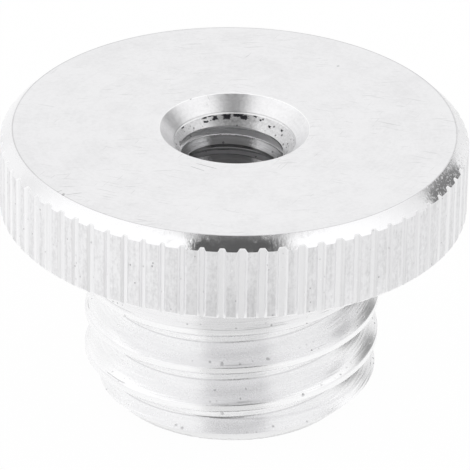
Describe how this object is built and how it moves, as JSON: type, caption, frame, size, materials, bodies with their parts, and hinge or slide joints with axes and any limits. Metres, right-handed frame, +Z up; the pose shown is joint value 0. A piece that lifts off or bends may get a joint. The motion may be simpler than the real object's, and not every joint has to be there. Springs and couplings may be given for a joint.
{
  "type": "tripod thread adapter",
  "caption": "Knurled disc with a coarse right-hand screw below it and a small countersunk tapped hole through its middle, joining a large tripod thread to a small one.",
  "frame": {"origin": "on the common axis of both threads, at the free end of the male screw, which is the plane the part stands on", "axes": "+Z up along the thread axis, out of the tapped hole's countersunk mouth; -Y towards the camera of the picture; +X to its right"},
  "size_m": [0.025, 0.025, 0.0155],
  "materials": {
    "metal": "bright machined, fine scratches on the flat top"
  },
  "bodies": {
    "root": {"adapter": "metal"}
  },
  "joints": []
}
